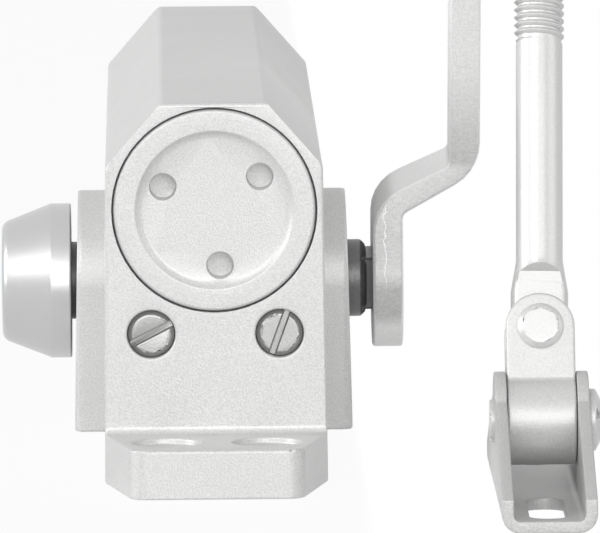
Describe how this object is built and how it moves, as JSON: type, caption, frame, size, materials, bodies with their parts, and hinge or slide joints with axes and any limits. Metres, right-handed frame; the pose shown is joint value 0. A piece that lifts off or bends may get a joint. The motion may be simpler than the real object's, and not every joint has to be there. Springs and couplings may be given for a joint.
{
  "type": "hydraulic door closer",
  "caption": "Surface-mounted rack-and-pinion hydraulic door closer with a stepped main arm, an adjustable forearm rod and a channel-shaped shoe.",
  "frame": {"origin": "centre of the four-hole pattern on the mounting face", "axes": "+Z away from the door, +Y along the body from the valve end to the spring end, +X towards the arm"},
  "size_m": [0.1152, 0.304, 0.2872],
  "materials": {
    "cast_body": "satin",
    "cap_finish": "satin",
    "arm_finish": "satin",
    "forearm_finish": "satin",
    "shoe_finish": "satin",
    "zinc_steel": "satin",
    "dark_steel": "satin",
    "ground_steel": "gloss",
    "spring_steel": "satin",
    "seal_rubber": "matte"
  },
  "bodies": {
    "housing": {"body_casting": "cast_body", "valve_end_plug": "cast_body", "valve_end_seal": "seal_rubber", "spring_end_plug": "cast_body", "spring_end_seal": "seal_rubber", "left_bearing_ring": "ground_steel", "right_bearing_ring": "ground_steel", "left_shaft_seal": "seal_rubber", "right_shaft_seal": "seal_rubber", "left_gland": "dark_steel", "right_gland": "dark_steel", "main_spring": "spring_steel"},
    "pinion_and_arm": {"pinion_shaft": "dark_steel", "pinion_cap": "cap_finish", "main_arm": "arm_finish", "arm_screw": "zinc_steel", "elbow_screw": "zinc_steel", "elbow_spacer": "zinc_steel", "elbow_nut": "zinc_steel"},
    "left_rollers": {"left_bearing_rollers": "ground_steel"},
    "right_rollers": {"right_bearing_rollers": "ground_steel"},
    "piston": {"piston": "ground_steel", "check_ball_retainer": "ground_steel"},
    "check_ball": {"check_ball": "ground_steel"},
    "power_adjuster": {"power_adjuster": "zinc_steel", "power_adjuster_seal": "seal_rubber"},
    "spring_seat": {"spring_seat": "ground_steel"},
    "sweep_valve": {"sweep_valve_screw": "zinc_steel", "sweep_valve_seal": "seal_rubber"},
    "latch_valve": {"latch_valve_screw": "zinc_steel", "latch_valve_seal": "seal_rubber"},
    "forearm": {"forearm_tube": "forearm_finish", "jam_nut": "zinc_steel"},
    "forearm_rod": {"forearm_rod": "forearm_finish"},
    "knuckle": {"knuckle": "shoe_finish", "knuckle_rivet": "zinc_steel"},
    "shoe": {"shoe_bracket": "shoe_finish", "shoe_pin": "zinc_steel"}
  },
  "joints": [
    {"name": "pinion_turn", "type": "hinge", "parent": "housing", "child": "pinion_and_arm", "pos_m": [0, -0.009, 0.0281], "axis": [-1, 0, 0], "range_deg": [0, 180], "stiffness_Nm_per_rad": 3, "springref_deg": -22.92},
    {"name": "left_bearing_roll", "type": "hinge", "parent": "housing", "child": "left_rollers", "pos_m": [0, -0.009, 0.0281], "axis": [-1, 0, 0], "range_deg": [0, 80]},
    {"name": "right_bearing_roll", "type": "hinge", "parent": "housing", "child": "right_rollers", "pos_m": [0, -0.009, 0.0281], "axis": [-1, 0, 0], "range_deg": [0, 80]},
    {"name": "piston_slide", "type": "slide", "parent": "housing", "child": "piston", "axis": [0, 1, 0], "range_m": [0, 0.0316], "deforming": ["main_spring"]},
    {"name": "check_ball_lift", "type": "slide", "parent": "piston", "child": "check_ball", "axis": [0, -1, 0], "range_m": [0, 0.0008]},
    {"name": "power_adjust", "type": "hinge", "parent": "housing", "child": "power_adjuster", "pos_m": [0, 0.103, 0.0521], "axis": [0, -1, 0], "range_deg": [0, 1925]},
    {"name": "spring_seat_slide", "type": "slide", "parent": "housing", "child": "spring_seat", "axis": [0, -1, 0], "range_m": [0, 0.008], "deforming": ["main_spring"]},
    {"name": "sweep_valve_turn", "type": "hinge", "parent": "housing", "child": "sweep_valve", "pos_m": [-0.0122, -0.103, 0.0285], "axis": [0, -1, 0], "range_deg": [-360, 360]},
    {"name": "latch_valve_turn", "type": "hinge", "parent": "housing", "child": "latch_valve", "pos_m": [0.0122, -0.103, 0.0285], "axis": [0, -1, 0], "range_deg": [-360, 360]},
    {"name": "elbow_fold", "type": "hinge", "parent": "pinion_and_arm", "child": "forearm", "pos_m": [0.05157, -0.03947, 0.27624], "axis": [-1, -0.0009, 0.0069], "range_deg": [-20, 150]},
    {"name": "rod_adjust", "type": "slide", "parent": "forearm", "child": "forearm_rod", "axis": [-0.0167, -0.3409, -0.94], "range_m": [-0.012, 0.012]},
    {"name": "knuckle_swing", "type": "hinge", "parent": "forearm_rod", "child": "knuckle", "pos_m": [0.06062, -0.12822, 0.03138], "axis": [0, 0.9401, -0.3409], "range_deg": [-10, 10]},
    {"name": "shoe_pivot", "type": "hinge", "parent": "knuckle", "child": "shoe", "pos_m": [0.06062, -0.13402, 0.0154], "axis": [1, 0, 0], "range_deg": [-45, 55]}
  ],
  "couplings": [
    {"joint": "piston_slide", "follows": "pinion_turn", "m_per_rad": 0.01},
    {"joint": "left_bearing_roll", "follows": "pinion_turn", "ratio": 0.4359},
    {"joint": "right_bearing_roll", "follows": "pinion_turn", "ratio": 0.4359},
    {"joint": "power_adjust", "follows": "spring_seat_slide", "rad_per_m": 4188.8}
  ]
}
